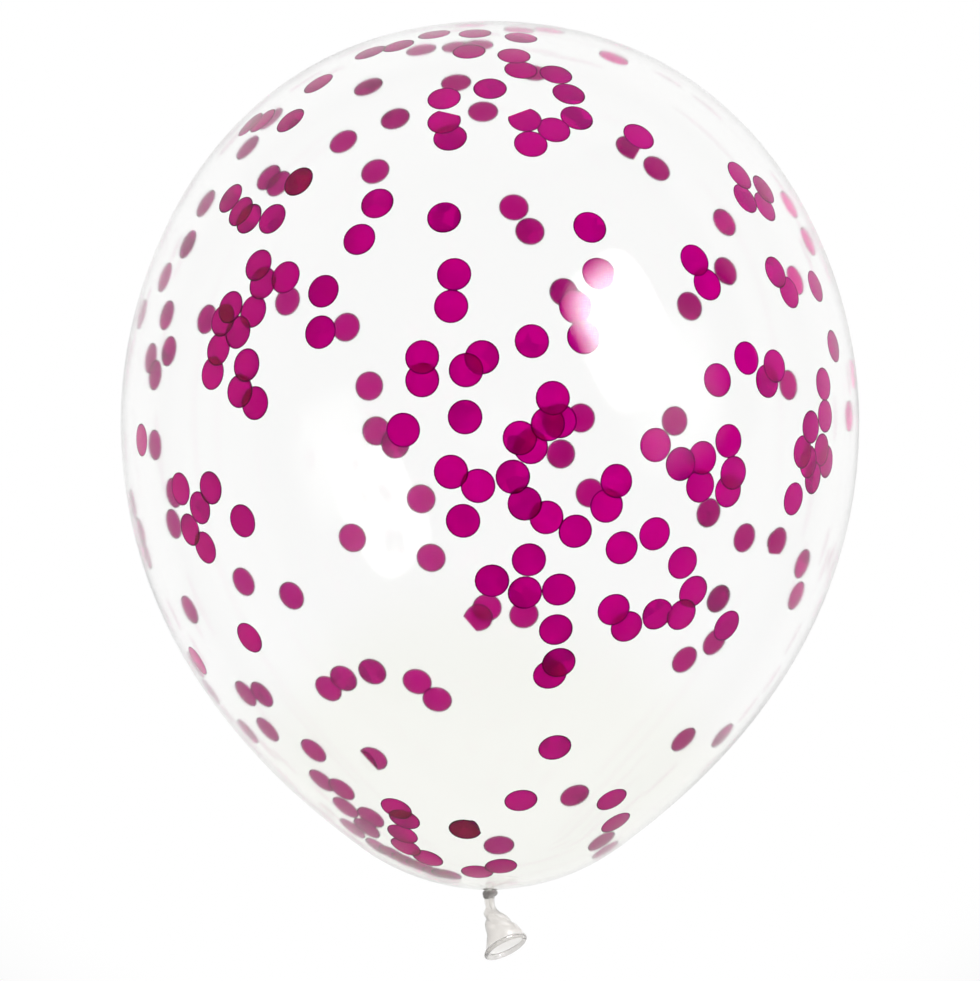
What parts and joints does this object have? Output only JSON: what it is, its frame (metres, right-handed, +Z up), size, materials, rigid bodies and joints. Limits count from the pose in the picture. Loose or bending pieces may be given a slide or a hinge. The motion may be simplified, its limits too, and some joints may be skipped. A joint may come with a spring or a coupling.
{
  "type": "confetti balloon",
  "caption": "Clear latex balloon, blown up and knotted, with round glossy confetti discs clinging inside its film, lying on its side.",
  "frame": {"origin": "centre of the small flat spot that the balloon lies on, straight under its widest circle", "axes": "+Y along the balloon's length from the knot to the crown, +X across it, +Z up from the surface it lies on"},
  "size_m": [0.23, 0.2927, 0.2294],
  "materials": {
    "latex_film": "clear, glossy",
    "confetti": "glossy"
  },
  "bodies": {
    "root": {"latex_envelope": "latex_film"}
  },
  "joints": []
}
